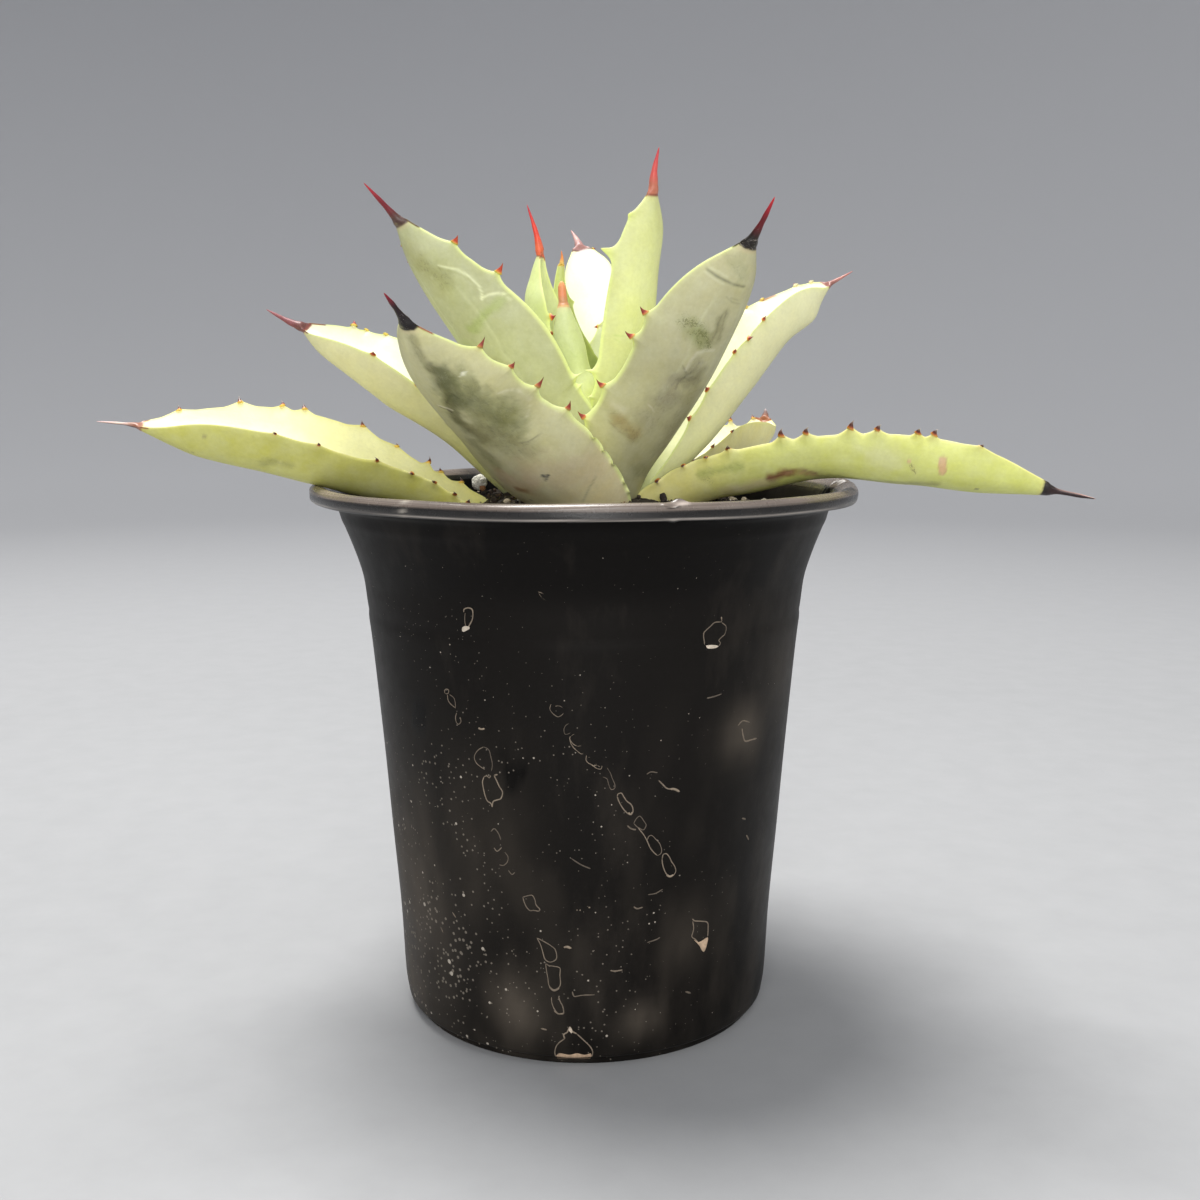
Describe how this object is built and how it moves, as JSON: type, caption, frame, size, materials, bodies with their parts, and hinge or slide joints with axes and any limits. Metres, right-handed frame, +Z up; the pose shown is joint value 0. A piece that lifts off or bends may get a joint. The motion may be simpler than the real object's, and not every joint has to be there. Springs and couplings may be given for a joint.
{
  "type": "potted agave",
  "caption": "Small spiny agave in a round black plastic nursery pot: a dense rosette of stiff toothed leaves with dark end spines round a pointed bud, over gritty mix.",
  "frame": {"origin": "centre of the pot's flat foot, on the floor, on the pot's axis", "axes": "+Z up along the pot's axis. +Y points away from the picture's camera. +X is the picture's right."},
  "size_m": [0.2561, 0.1819, 0.2335],
  "materials": {
    "leaf": "satin",
    "low_leaf": "satin",
    "stem": "matte",
    "pot": "satin",
    "soil": "matte",
    "pumice": "matte",
    "lava": "matte",
    "chip": "matte"
  },
  "bodies": {
    "root": {"central_bud": "leaf", "leaf_inner_left": "leaf", "leaf_inner_back": "leaf", "leaf_upper_right": "leaf", "leaf_upper_left": "leaf", "leaf_back_centre": "leaf", "leaf_back_upper": "leaf", "leaf_front_right": "leaf", "leaf_back_right": "leaf", "leaf_back_left": "leaf", "leaf_left_mid": "leaf", "leaf_right_mid": "leaf", "leaf_front_left": "leaf", "leaf_right_back": "low_leaf", "leaf_back_left_low": "low_leaf", "leaf_back_low": "low_leaf", "leaf_right_low": "low_leaf", "leaf_left_low": "low_leaf", "stem_and_roots": "stem", "pot": "pot", "soil": "soil", "pumice_grain_left": "pumice", "chip_left": "chip", "pumice_grain_front": "pumice", "pumice_grain_right": "pumice", "pumice_grain_back": "pumice", "lava_grain_front": "lava", "lava_grain_left": "lava", "lava_grain_back": "lava"}
  },
  "joints": []
}
